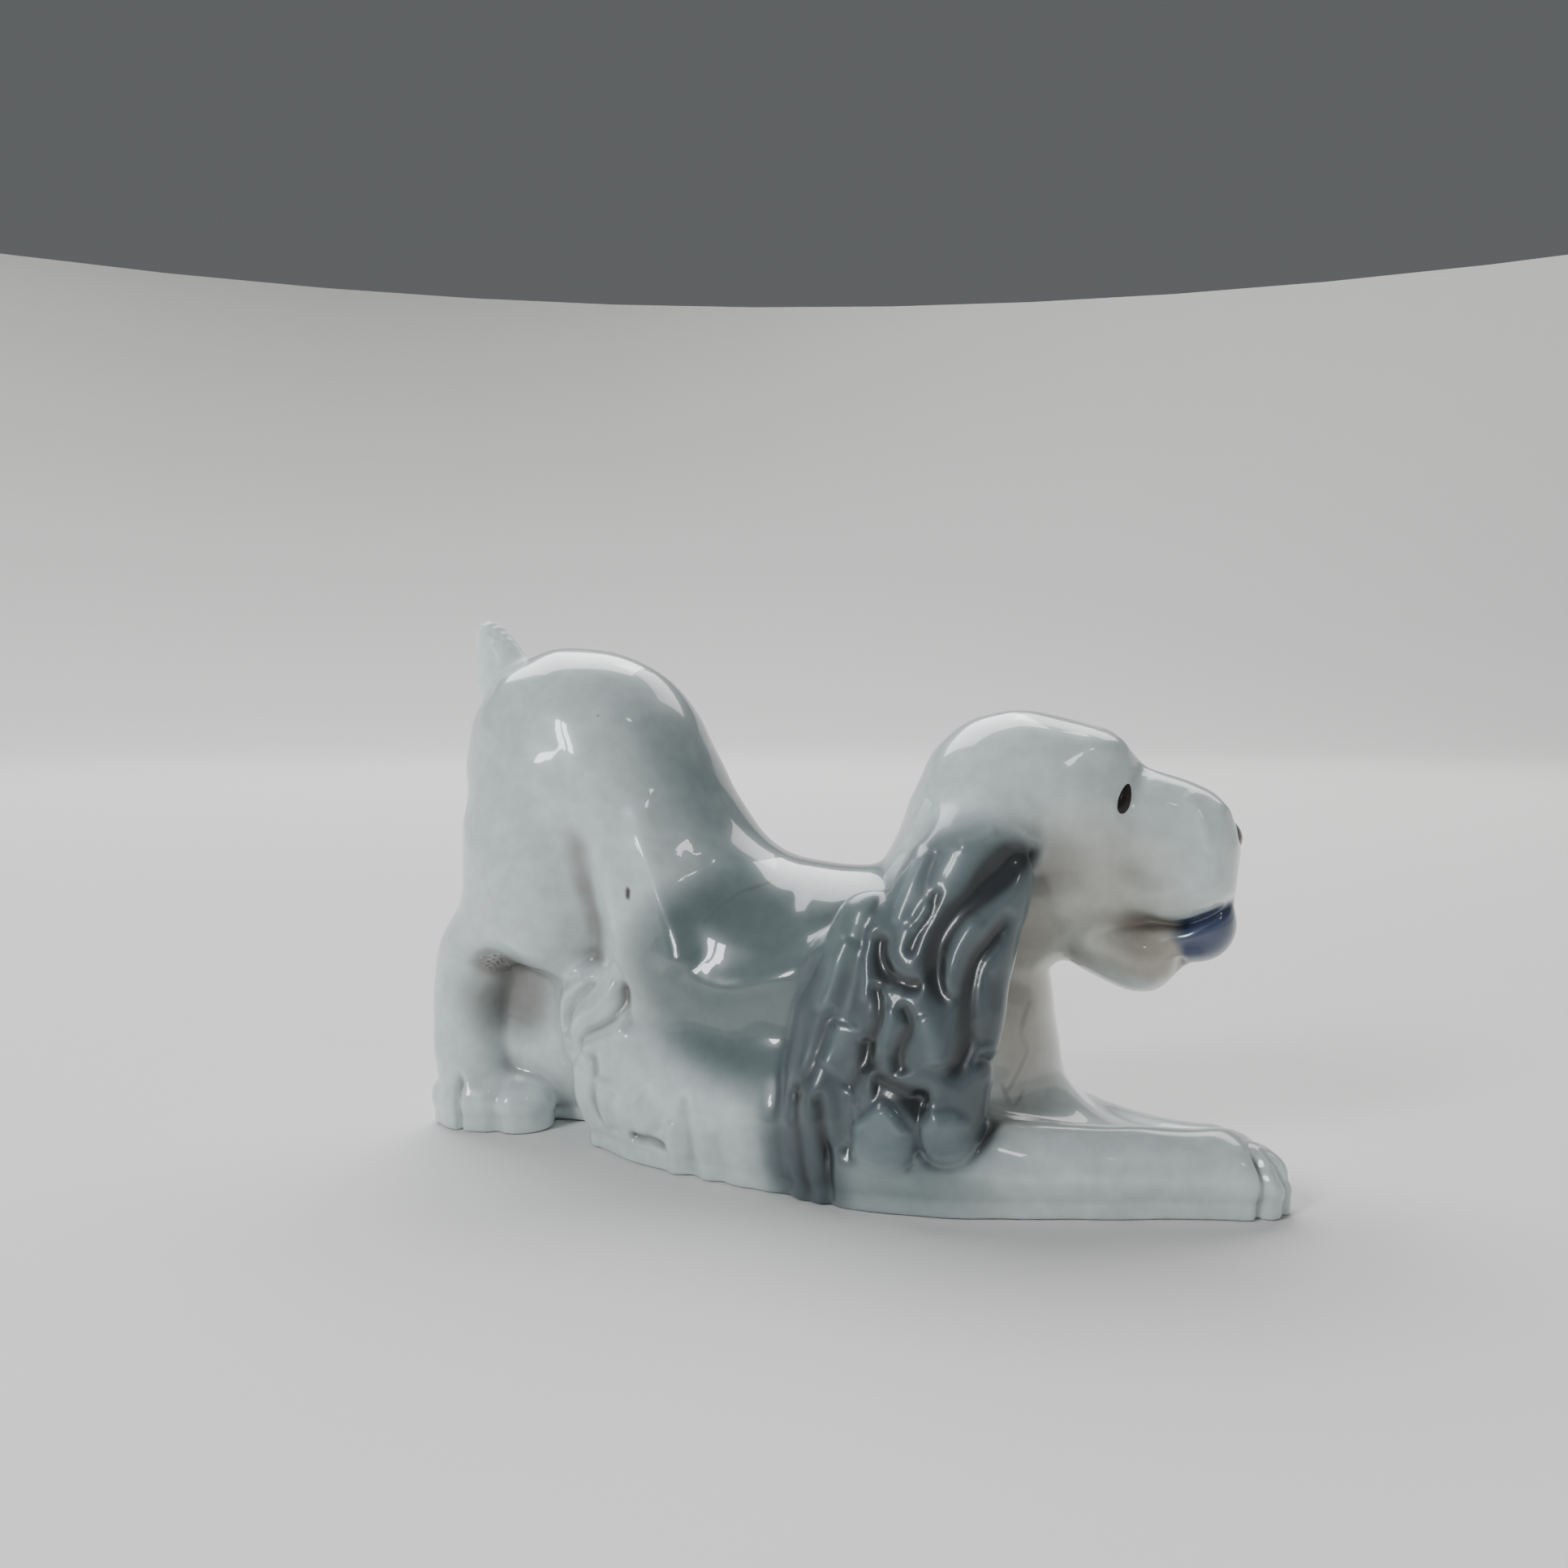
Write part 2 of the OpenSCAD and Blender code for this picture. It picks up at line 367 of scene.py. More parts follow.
# Paths are fractions of the ear's box, from the back and from the table. The other numbers are the half
# widths at both ends and the height, in millimetres.
EAR_GROOVES = [
    ([(0.98, 0.88), (0.92, 0.84), (0.85, 0.79), (0.78, 0.74), (0.71, 0.70), (0.66, 0.64), (0.65, 0.58),
      (0.68, 0.53), (0.74, 0.49)], (0.85, 0.45), -0.50),
    ([(0.93, 0.72), (0.87, 0.65), (0.81, 0.60), (0.79, 0.54), (0.79, 0.48), (0.79, 0.42), (0.77, 0.37),
      (0.73, 0.32)], (0.35, 0.50), -0.50),
    ([(0.64, 0.77), (0.61, 0.70), (0.57, 0.66), (0.54, 0.60)], (0.30, 0.30), -0.28),
    ([(0.41, 0.66), (0.41, 0.60), (0.45, 0.56), (0.53, 0.54), (0.62, 0.54)], (0.55, 0.35), -0.42),
    ([(0.40, 0.54), (0.44, 0.47), (0.40, 0.40), (0.42, 0.33)], (0.25, 0.50), -0.36),
    ([(0.52, 0.50), (0.57, 0.45), (0.53, 0.39), (0.55, 0.33)], (0.25, 0.50), -0.38),
    ([(0.23, 0.48), (0.19, 0.40), (0.15, 0.32), (0.07, 0.25)], (0.35, 0.40), -0.22),
    ([(0.38, 0.41), (0.38, 0.37), (0.35, 0.32), (0.31, 0.28)], (0.35, 0.40), -0.28),
    ([(0.19, 0.28), (0.21, 0.23), (0.22, 0.17), (0.24, 0.11), (0.24, 0.02)], (0.35, 0.30), -0.32),
    ([(0.09, 0.29), (0.11, 0.18), (0.13, 0.10), (0.15, 0.00)], (0.35, 0.35), -0.26),
    ([(0.33, 0.17), (0.36, 0.125), (0.43, 0.105), (0.53, 0.110), (0.62, 0.135)], (0.35, 0.35), -0.34),
    ([(0.60, 0.30), (0.63, 0.26), (0.64, 0.21), (0.61, 0.15)], (0.32, 0.32), -0.38),
    ([(0.42, 0.305), (0.50, 0.300), (0.58, 0.285), (0.66, 0.265)], (0.60, 0.60), -0.45),
    ([(0.83, 0.38), (0.90, 0.35), (0.97, 0.32)], (0.32, 0.32), -0.28),
    ([(0.63, 0.86), (0.59, 0.80), (0.58, 0.74), (0.53, 0.68)], (0.30, 0.30), -0.15),
    ([(0.47, 0.84), (0.40, 0.76), (0.34, 0.68), (0.32, 0.60)], (0.40, 0.40), -0.16),
    ([(0.89, 0.58), (0.88, 0.48), (0.86, 0.40)], (0.28, 0.28), -0.16),
    ([(0.64, 0.15), (0.74, 0.135), (0.84, 0.16), (0.91, 0.23)], (0.35, 0.35), -0.34),
    ([(0.99, 0.68), (0.96, 0.60), (0.96, 0.47), (0.94, 0.31)], (0.35, 0.35), -0.22),
]
EAR_HOLLOWS = [((0.86, 0.80), (1.4, 1.4), -0.22), ((0.66, 0.58), (0.6, 1.2), -0.25),
               ((0.44, 0.57), (0.8, 0.8), -0.20), ((0.44, 0.32), (0.8, 0.5), -0.18),
               ((0.64, 0.285), (0.8, 0.7), -0.20)]
EAR_RIDGES = [
    ([(0.56, 0.85), (0.52, 0.79), (0.49, 0.73), (0.47, 0.67)], (0.45, 0.35), 0.20),
    ([(0.61, 0.73), (0.57, 0.69), (0.54, 0.66)], (0.25, 0.25), 0.10),
    ([(0.37, 0.67), (0.36, 0.60), (0.36, 0.54), (0.37, 0.49)], (0.30, 0.30), 0.18),
    ([(0.26, 0.64), (0.23, 0.59), (0.21, 0.53), (0.17, 0.45)], (0.55, 0.50), 0.30),
    ([(0.45, 0.51), (0.49, 0.53), (0.54, 0.525)], (0.25, 0.25), 0.10),
    ([(0.48, 0.49), (0.48, 0.44), (0.47, 0.38)], (0.40, 0.40), 0.16),
    ([(0.63, 0.48), (0.67, 0.42), (0.69, 0.36)], (0.60, 0.60), 0.20),
    ([(0.85, 0.90), (0.78, 0.875), (0.70, 0.86)], (0.30, 0.30), 0.12),
    ([(0.82, 0.70), (0.76, 0.64), (0.72, 0.57), (0.72, 0.52)], (0.45, 0.35), 0.18),
    ([(0.28, 0.44), (0.26, 0.38), (0.22, 0.33)], (0.70, 0.60), 0.20),
]
# The tufts at the hem: centre and half sizes as fractions of the ear's box, height, and how pointed
EAR_TUFTS = [((0.475, 0.190), (0.140, 0.080), 0.90, 0.9), ((0.735, 0.200), (0.105, 0.066), 0.60, 0.2)]
TUFT_EDGES = [
    ([(0.385, 0.205), (0.430, 0.225), (0.485, 0.262)], (0.25, 0.30), 0.30),
    ([(0.485, 0.262), (0.530, 0.235), (0.575, 0.195)], (0.30, 0.25), 0.30),
    ([(0.350, 0.265), (0.365, 0.225), (0.380, 0.185)], (0.25, 0.25), 0.12),
    ([(0.670, 0.265), (0.700, 0.245), (0.715, 0.215)], (0.25, 0.25), 0.12),
]


def ear_relief(x, z, node):
    height = 0.92 * lines(x, z, node, EAR_GROOVES, 1.3) + dents(x, z, node, EAR_HOLLOWS)
    height = smooth_max(height, -0.80, 0.2) + lines(x, z, node, EAR_RIDGES, 1.2)
    size = box(node)[1] - box(node)[0]
    for (u, w), (half_u, half_w), rise, point in EAR_TUFTS:
        cx, _, cz = place(node, u, 0, w)
        across, up = (x - cx) / (half_u * size[0]), (z - cz) / (half_w * size[2])
        power = 2.3 - point * ramp(up, -0.3, 0.5)
        r = (np.abs(across) ** power + np.abs(up) ** power) ** (1 / power)
        height = smooth_max(height, np.clip(rise * (1 - r ** 2.4), -1, 1), 0.15)
    return height + lines(x, z, node, TUFT_EDGES)


def carve_ear(clay, node):
    low, high = box(node)
    i, x, y, z, here = clay.about(node, reach=1.5)
    inner, side = (low[1], 1) if node == "left_ear" else (-high[1], -1)
    clay.d[i] -= Drawing(node, ear_relief).at(x, z) * here * ramp(side * y, inner, inner + 1.2)


# Belly hair and the shell-like curl in the groin, as fractions of the feathering's box
FRINGE = [
    ([(0.18, 0.98), (0.08, 0.86), (0.03, 0.78), (0.03, 0.65), (0.06, 0.54), (0.11, 0.48)],
     (0.45, 0.40), 0.34),
    ([(0.26, 0.93), (0.19, 0.79), (0.11, 0.70), (0.08, 0.58)], (0.40, 0.35), 0.26),
    ([(0.32, 0.72), (0.23, 0.63), (0.14, 0.56)], (0.45, 0.40), 0.30),
    ([(0.18, 0.94), (0.10, 0.79), (0.06, 0.70), (0.05, 0.58)], (0.30, 0.30), -0.34),
    ([(0.29, 0.95), (0.28, 0.81), (0.24, 0.71), (0.16, 0.64), (0.12, 0.56)], (0.40, 0.32), -0.34),
    ([(0.12, 0.50), (0.12, 0.32), (0.14, 0.20), (0.19, 0.06)], (0.45, 0.45), 0.26),
    ([(0.19, 0.55), (0.21, 0.44), (0.20, 0.28), (0.24, 0.15)], (0.45, 0.30), -0.36),
    ([(0.24, 0.44), (0.25, 0.30), (0.27, 0.15)], (0.80, 0.60), 0.24),
    ([(0.30, 0.38), (0.29, 0.25), (0.30, 0.14)], (0.40, 0.30), -0.20),
    ([(0.36, 0.16), (0.40, 0.15), (0.45, 0.155), (0.51, 0.125)], (0.25, 0.28), -0.50),
    ([(0.40, 0.38), (0.45, 0.30), (0.48, 0.20)], (0.90, 0.80), -0.22),
    ([(0.53, 0.30), (0.53, 0.14), (0.54, 0.00)], (0.50, 0.40), 0.24),
    ([(0.57, 0.45), (0.59, 0.22), (0.60, 0.00)], (0.45, 0.50), -0.26),
    ([(0.65, 0.32), (0.65, 0.15), (0.65, 0.00)], (0.50, 0.40), 0.16),
    ([(0.69, 0.28), (0.70, 0.15), (0.71, 0.00)], (0.40, 0.40), -0.16),
    ([(0.80, 0.34), (0.81, 0.15), (0.82, 0.00)], (0.60, 0.50), -0.12),
    ([(0.27, 1.08), (0.28, 0.95), (0.30, 0.81), (0.33, 0.68)], (0.40, 0.40), -0.16),
]


def fringe_relief(x, z, node):
    return lines(x, z, node, FRINGE, 1.2)


def carve_feathering(clay, node):
    i, x, y, z, here = clay.about(node, reach=2.6)
    clay.d[i] -= Drawing(node, fringe_relief).at(x, z) * here * ramp(np.abs(y), 2.0, 4.0)


# Two swells over the flank, which catch the light, and a dip, as fractions of the torso's box
FLANK = [
    ([(0.37, 0.72), (0.40, 0.62), (0.43, 0.52), (0.46, 0.44), (0.49, 0.38)], (1.0, 1.0), 0.34),
    ([(0.42, 0.42), (0.50, 0.36), (0.58, 0.36), (0.66, 0.39), (0.72, 0.46)], (1.1, 1.1), 0.42),
    ([(0.48, 0.60), (0.52, 0.52), (0.58, 0.48), (0.66, 0.51)], (1.6, 1.6), -0.15),
]


def carve_flanks(clay):
    low, high = box("torso")
    i, x, y, z = clay.zone(low - 1, high + 1)
    relief = Drawing("torso", lambda a, b, node: lines(a, b, node, FLANK))
    clay.d[i] -= relief.at(x, z) * ramp(np.abs(y), 3.0, 6.5)


# The deep recess between thigh, hock and heel: the middle of each dab as fractions of the leg's box, its
# half sizes and height
HIND_RECESS = [((0.42, 0.425), (2.4, 1.7), -1.25), ((0.55, 0.31), (2.3, 2.6), -0.95)]
# Grooves between the hind toes: how far along the leg's box, half width and depth
HIND_TOES = [(0.26, 0.22, 0.50), (0.46, 0.50, 0.38), (0.78, 0.90, 0.45)]


def carve_hind_leg(clay, node):
    """The hollow in front of the thigh, the dip below the hock, and the toes."""
    low, high = box(node)
    i, x, y, z = clay.zone(low - 2.5, high + np.array([4.0, 2.5, 1.5]))
    out = ramp(np.abs(y), 2.5, 5.0)
    off, along = to_path(x, z, path_in(node, [(0.94, 0.84), (0.99, 0.69), (1.04, 0.56), (1.02, 0.46)]))
    clay.d[i] += 0.85 * out * np.exp(-(off / 1.7) ** 2) * ramp(along, 0.0, 0.35)
    clay.d[i] -= dents(x, z, node, HIND_RECESS) * out
    low_down = ramp(z, 4.6, 3.2)
    outer = ramp(np.abs(y), 4.8, 6.4)
    for u, half, depth in HIND_TOES:
        groove = place(node, u, 0, 0)[0]
        clay.d[i] += depth * low_down * outer * np.exp(-((x - groove) / half) ** 2)
    heel = ramp(x, low[0] + 1.6, low[0] + 0.2) * ramp(z, 3.6, 2.6)
    clay.d[i] -= 0.35 * heel


# Grooves between the toes of a forepaw: direction in degrees, half width and depth
FORE_TOES = [(-50, 0.24, 0.40), (-16, 0.26, 0.45), (17, 0.26, 0.45), (52, 0.34, 0.50)]
PAW_RADIUS = (3.6, 2.9)                  # from the middle of a forepaw to its tip and to its inner side
DEEPEST_CUT = 0.62                       # on the paw, so that cuts and grooves stay within CARVED


def carve_foreleg(clay, node):
    """The sloping front of the paw, and its toes."""
    low, high = box(node)
    i, x, y, z = clay.zone(low + np.array([0.7 * (high[0] - low[0]), -1, -1]), high + 1)
    slope = 0.66 * (x - high[0] + 3.9) + 0.75 * (z - 5.0)
    clay.d[i] = np.minimum(smooth_max(clay.d[i], slope, 0.9), clay.d[i] + DEEPEST_CUT)
    side = -1 if node.startswith("right") else 1
    cx = high[0] - PAW_RADIUS[0]
    cy = (high[1] - PAW_RADIUS[1]) if side < 0 else (low[1] + PAW_RADIUS[1])
    away = np.hypot(x - cx, y - cy)
    angle = np.degrees(np.arctan2(side * (y - cy), x - cx))
    low_down = ramp(z, 4.4, 3.2)
    for turn, half, depth in FORE_TOES:
        across = away * np.radians(angle - turn)
        reach = ramp(away, 0.8, 2.0) * (np.abs(angle - turn) < 80)
        clay.d[i] += depth * reach * low_down * np.exp(-(across / half) ** 2)


# Sideways dabs on the face, as x and z from the eye, half sizes and height, in millimetres
FACE_DABS = [
    ((-1.3, 3.4), (1.9, 1.1), 0.35),       # brow
    ((5.9, -0.9), (0.9, 0.9), 0.22),       # square corner over the nose
    ((0.2, 0.4), (0.9, 1.5), -0.28),       # eye socket
    ((0.6, -4.2), (0.9, 2.2), -0.14),      # between cheek and muzzle
    ((3.6, -5.6), (2.2, 1.3), 0.22),       # upper lip
    ((0.9, -8.6), (2.0, 1.3), -0.30),      # corner of the mouth
    ((-0.9, -7.2), (1.0, 0.8), 0.20),      # fold behind it
]
FACE_LINES = [
    ([(0.6, -7.9), (2.0, -8.35), (3.4, -8.35), (5.2, -7.45), (6.4, -6.3)], 0.45, -0.26),    # mouth
    ([(-0.2, -6.7), (1.4, -7.3), (3.2, -7.5), (5.0, -6.6)], 0.50, 0.20),                     # lip
    ([(3.0, -10.4), (3.1, -12.0)], 0.35, -0.40),                                             # chin cleft
    ([(3.3, 0.2), (4.1, -0.7), (4.7, -2.0), (4.9, -3.6)], 0.35, 0.14),                       # muzzle
]


def carve_face(clay):
    """Brow, sockets, muzzle and mouth on both sides of the head's own middle."""
    low, high = box("head")
    i, x, y, z = clay.zone([low[0] + 0.5 * (high[0] - low[0]), low[1], low[2] - 2], high + 1)
    for node, side in (("right_eye", -1), ("left_eye", 1)):
        eye = (box(node)[0] + box(node)[1]) / 2
        own = ramp(side * (y - centre_line(x)), 0.3, 1.5)
        dx, dz = x - eye[0], z - eye[2]
        for (cx, cz), (half_x, half_z), height in FACE_DABS:
            clay.d[i] -= height * own * np.exp(-((dx - cx) / half_x) ** 2 - ((dz - cz) / half_z) ** 2)
        for points, half, height in FACE_LINES:
            off, along = to_path(dx, dz, curve(points))
            fade = np.clip(np.minimum(along, 1 - along) / 0.12, 0, 1)
            clay.d[i] -= height * own * fade * np.exp(-(off / half) ** 2)


def centre_line(x):
    """Where the head's own middle lies, as it turns a little to its left."""
    nose = (box("nose")[0] + box("nose")[1]) / 2
    eyes = sum(sum(box(n)) for n in ("right_eye", "left_eye")) / 4
    slope = (nose[1] - eyes[1]) / (nose[0] - eyes[0])
    return eyes[1] + slope * (x - eyes[0])


def hand_work(clay):
    """The slight unevenness of a hand-finished cast, and the rough tip of the tail."""
    rng = np.random.default_rng(7)
    wobble = np.zeros(clay.d.shape, np.float32)
    for _ in range(7):
        k = rng.normal(size=3) * 0.75
        wobble += np.sin(k[0] * clay.x + k[1] * clay.y + k[2] * clay.z + rng.uniform(0, 6.28))
    clay.d += 0.022 * wobble
    low, high = box("tail")
    i, x, y, z = clay.zone(low - 1, high + 1)
    chips = np.sin(5.1 * x + 2.0 * y) * np.sin(4.3 * y + 1.3 * z) * np.sin(4.7 * z - 2.2 * x)
    clay.d[i] += 0.14 * chips * ramp(z, high[2] - 3.0, high[2] - 0.5)


def stand(clay):
    """The feet stand on the table, whose plane trims them."""
    skin = clay.done()
    foot = int(round((FOOT_HEIGHT - skin.low[2]) / skin.step))
    skin.values[:, :, :foot] = np.minimum(skin.values[:, :, :foot], skin.values[:, :, foot][:, :, None])
    skin.values = smooth_max(skin.values, -grid_axis(skin, 2), FOOT_EDGE)
    return skin


def sculpt(nodes):
    skin = refine(joined_skin(nodes))
    clay = Clay(skin, nodes)
    for node in ("right_ear", "left_ear"):
        carve_ear(clay, node)
    carve_flanks(clay)
    for node in ("right_feathering", "left_feathering"):
        carve_feathering(clay, node)
    for node in ("right_hind_leg", "left_hind_leg"):
        carve_hind_leg(clay, node)
    for node in ("right_foreleg", "left_foreleg"):
        carve_foreleg(clay, node)
    carve_face(clay)
    hand_work(clay)
    return stand(clay)


# ---------------------------------------------------------------- meshes

def new_object(name, points, faces):
    mesh = bpy.data.meshes.new(name)
    mesh.vertices.add(len(points))
    mesh.vertices.foreach_set("co", (points / MM).astype(np.float32).ravel())
    mesh.loops.add(faces.size)
    mesh.loops.foreach_set("vertex_index", faces.astype(np.int32).ravel())
    mesh.polygons.add(len(faces))
    mesh.polygons.foreach_set("loop_start", np.arange(0, faces.size, faces.shape[1], dtype=np.int32))
    mesh.update(calc_edges=True)
    obj = bpy.data.objects.new(name, mesh)
    bpy.context.scene.collection.objects.link(obj)
    return obj


def settle(field, points, steps=3):
    """Moves points onto the zero surface."""
    for _ in range(steps):
        points = points - field.gradient(points) * np.clip(field.sample(points), -0.1, 0.1)[:, None]
    return points


def cutter(node, rest, nodes):
    """A block of space nearer to this node than to the rest, reaching a little way off the skin."""
    own = nodes[node].values
    others = np.minimum.reduce([nodes[n].values for n in rest])
    nearer = blur(own - others, 0.5 / nodes[node].step)
    space = np.maximum(nearer, 2 * (own - 1.7))
    space[[0, -1]] = space[:, [0, -1]] = space[:, :, [0, -1]] = BAND
    points, faces = Field(nodes[node].low, nodes[node].step, space).mesh()
    return new_object("cutter_" + node, points, faces)


def combine(obj, tool, operation, name):
    """A new object: obj with the tool's space kept or taken away."""
    cut = obj.modifiers.new("cut", "BOOLEAN")
    cut.object, cut.operation, cut.solver = tool, operation, "MANIFOLD"
    graph = bpy.context.evaluated_depsgraph_get()
    mesh = bpy.data.meshes.new_from_object(obj.evaluated_get(graph))
    obj.modifiers.remove(cut)
    mesh.name = name
    result = bpy.data.objects.new(name, mesh)
    bpy.context.scene.collection.objects.link(result)
    return result


def discard(obj):
    mesh = obj.data
    bpy.data.objects.remove(obj)
    bpy.data.meshes.remove(mesh)


def part_along_seams(skin, nodes):
    """Cuts the skin into one closed piece for each node."""
    points, faces = skin.mesh()
    rest = new_object("rest", settle(skin, points), faces)
    pieces = {}
    for n, node in enumerate(SEAM_ORDER[:-1]):
        tool = cutter(node, SEAM_ORDER[n + 1:], nodes)
        pieces[node] = combine(rest, tool, "INTERSECT", node + "_glazed")
        remaining = combine(rest, tool, "DIFFERENCE", "rest")
        discard(rest)
        discard(tool)
        rest = remaining
    rest.name = rest.data.name = SEAM_ORDER[-1] + "_glazed"
    pieces[SEAM_ORDER[-1]] = rest
    return pieces


def drop_crumbs(obj, least=60):
    """Deletes slivers that the cutting left loose."""
    mesh = obj.data
    edges = np.empty(2 * len(mesh.edges), np.int32)
    mesh.edges.foreach_get("vertices", edges)
    edges = edges.reshape(-1, 2)
    group = np.arange(len(mesh.vertices))
    while True:
        low = np.minimum(group[edges[:, 0]], group[edges[:, 1]])
        lowered = group.copy()
        np.minimum.at(lowered, edges[:, 0], low)
        np.minimum.at(lowered, edges[:, 1], low)
        lowered = lowered[lowered]
        if (lowered == group).all():
            break
        group = lowered
    loose = np.bincount(group, minlength=len(group))[group] < least
    if loose.any():
        work = bmesh.new()
        work.from_mesh(mesh)
        work.verts.ensure_lookup_table()
        bmesh.ops.delete(work, geom=[work.verts[i] for i in np.nonzero(loose)[0]], context="VERTS")
        work.to_mesh(mesh)
        work.free()


def corners(mesh):
    points = np.empty(3 * len(mesh.vertices), np.float32)
    mesh.vertices.foreach_get("co", points)
    return points.reshape(-1, 3) * MM


def smooth_normals(obj, field):
    """Shades the outside by the field itself, so that no seam shows, and the seam faces flat."""
    mesh = obj.data
    slope = field.gradient(corners(mesh))
    count = len(mesh.polygons)
    centre, normal = np.empty(3 * count, np.float32), np.empty(3 * count, np.float32)
    mesh.polygons.foreach_get("center", centre)
    mesh.polygons.foreach_get("normal", normal)
    centre, normal = centre.reshape(-1, 3) * MM, normal.reshape(-1, 3)
    outside = (np.abs(field.sample(centre)) < 0.06) & ((field.gradient(centre) * normal).sum(1) > 0.5)
    sizes = np.empty(count, np.int32)
    mesh.polygons.foreach_get("loop_total", sizes)
    face = np.repeat(np.arange(count), sizes)
    vertex = np.empty(len(mesh.loops), np.int32)
    mesh.loops.foreach_get("vertex_index", vertex)
    mesh.polygons.foreach_set("use_smooth", np.ones(count, bool))
    mesh.normals_split_custom_set(np.where(outside[face][:, None], slope[vertex], normal[face]))


# ---------------------------------------------------------------- glaze colours and painted shade

WHITE = (0.62, 0.69, 0.69)
GREY = (0.17, 0.225, 0.23)              # sprayed on the back, the elbow and round the ears
FLANK_GREY = (0.115, 0.155, 0.155)
EAR_GREY = (0.072, 0.097, 0.108)
POOLED_GLAZE_AND_SHADE = (0.018, 0.020, 0.022)            # pooled glaze and painted shade in the grooves of the ears
BLUE = (0.045, 0.062, 0.125)            # the lower lip
WARM_SHADE = (0.33, 0.30, 0.25)               # painted warm shade on the cheek, chin and throat
PAINTED_SHADE = (0.15, 0.135, 0.125)            # painted shade in the hollows, creases and recesses
PIT = (0.05, 0.04, 0.035)


def airbrush(x, z, ear_distance):
    """How much grey was sprayed on, 0 to 1, over everything and over the flank alone."""
    low, high = box("torso")
    length, height = high[0] - low[0], high[2]
    spine = curve([(low[0] + u * length, w * height) for u, w in
                   [(0.12, 1.03), (0.26, 1.01), (0.38, 0.89), (0.47, 0.73), (0.57, 0.58), (0.70, 0.52)]])
    off, along = to_path(x, z, spine)
    back = (0.02 + 0.80 * ramp(along, 0.15, 0.6)) * ramp(off, 2.6 + 4.0 * along, 0.8)
    flank_centre = (low[0] + 0.63 * length, 0.385 * height)
    flank = ramp(from_oval(x, z, flank_centre, (11.8, 7.4)), 1.12, 0.68)
    elbow_centre = place("right_ear", 0.55, 0, 0.10)[[0, 2]]
    elbow = 0.75 * ramp(from_oval(x, z, elbow_centre, (7.5, 4.5)), 1.1, 0.3)
    front = ramp(x, box("right_ear")[1][0] - 4.0, box("right_ear")[1][0] - 0.5)
    round_ears = 0.9 * ramp(ear_distance, 3.4 - 2.6 * front, 0.1) * below_ear_top(x, z)
    return 1 - (1 - back) * (1 - 0.97 * flank) * (1 - round_ears) * (1 - elbow), flank


def from_oval(x, z, centre, half):
    """Distance from an oval's centre: 1 on the oval itself."""
    return np.hypot((x - centre[0]) / half[0], (z - centre[1]) / half[1])


def below_ear_top(x, z):
    """1 under the arched edge of the ear's paint, 0 over it."""
    low, high = box("right_ear")
    u, w = (x - low[0]) / (high[0] - low[0]), z / high[2]
    arch = 0.94 - 0.05 * np.clip((u - 0.74) / 0.28, -1.6, 1.6) ** 4
    return ramp(w, arch + 0.025, arch - 0.080)


def mix(a, b, share):
    return a + (np.array(b, np.float32) - a) * share[:, None]


def glaze(obj, nodes, relief, drawings):
    """Writes the colour of the glaze, with painted shade and painted highlights, at every corner of the
    piece.
    """
    points = corners(obj.data)
    x, y, z = points.T
    ears = {side: nodes[side + "_ear"].sample(points) for side in ("right", "left")}
    nearest = np.minimum(ears["right"], ears["left"])
    grey, flank = airbrush(x, z, nearest)
    on_tail = ramp(nodes["tail"].sample(points), 0.5, -0.3)
    colour = np.tile(np.array(WHITE, np.float32), (len(points), 1)) * (1 + 0.35 * on_tail)[:, None]
    colour = mix(colour, GREY, grey)
    colour = mix(colour, FLANK_GREY, 0.9 * flank)

    hem = ramp(z, 9.0, 6.0)
    on_ear = ramp(nearest, 1.2 + 0.9 * hem, 0.1) * below_ear_top(x, z)
    colour = paint_ears(colour, x, y, z, on_ear, drawings)
    belly = np.minimum(nodes["right_feathering"].sample(points), nodes["left_feathering"].sample(points))
    # painted shade in the grooves of the belly fringe
    fringe = ramp(-drawn(drawings, "feathering", x, y, z), 0.03, 0.45)
    colour = mix(colour, PAINTED_SHADE, 0.35 * fringe * ramp(belly, 2.0, 0.5) * (1 - on_ear))

    # painted shade in concave places, away from the ears
    hollow = np.clip(-relief.sample(points), 0, 0.9)
    colour = mix(colour, PAINTED_SHADE, 0.85 * ramp(hollow, 0.04, 0.42) * (1 - on_ear))
    # painted shade in the recess below the thigh, with some glaze pooled there
    recess = from_oval(x, z, place("right_hind_leg", 0.50, 0, 0.325)[[0, 2]], (3.6, 3.7))
    colour = mix(colour, PAINTED_SHADE, 0.84 * ramp(recess, 1.15, 0.25))

    colour = paint_head(colour, x, z, on_ear)
    head = box("head")
    lip = ramp(nodes["tongue"].sample(points), 0.42, 0.05) * ramp(x, head[1][0] - 4.6, head[1][0] - 3.0)
    colour = mix(colour, BLUE, lip)
    colour = paint_marks(colour, x, y, z)
    rows = np.column_stack([colour, np.ones(len(colour))]).astype(np.float32)
    layer = obj.data.color_attributes.new("glaze", "FLOAT_COLOR", "POINT")
    layer.data.foreach_set("color", rows.ravel())


def drawn(drawings, part, x, y, z):
    """The carved relief of that part on the point's own side of the dog."""
    return np.where(y < 0, drawings["right_" + part].at(x, z), drawings["left_" + part].at(x, z))


def paint_ears(colour, x, y, z, on_ear, drawings):
    """Grey, paler towards the top, with pooled glaze and painted shade in the grooves and a painted
    highlight on the ridges.
    """
    top = box("right_ear")[1][2]
    paler = 0.60 * ramp(z, 0.55 * top, 0.90 * top)
    colour = mix(colour, EAR_GREY, on_ear * (1 - paler))
    cut = drawn(drawings, "ear", x, y, z)
    # pooled glaze and painted shade in the ears' grooves
    colour = mix(colour, POOLED_GLAZE_AND_SHADE, on_ear * ramp(-cut, 0.02, 0.36) * 0.95)
    # painted highlight on the ears' ridges
    return colour * (1 + 0.60 * on_ear * ramp(cut, 0.02, 0.30))[:, None]


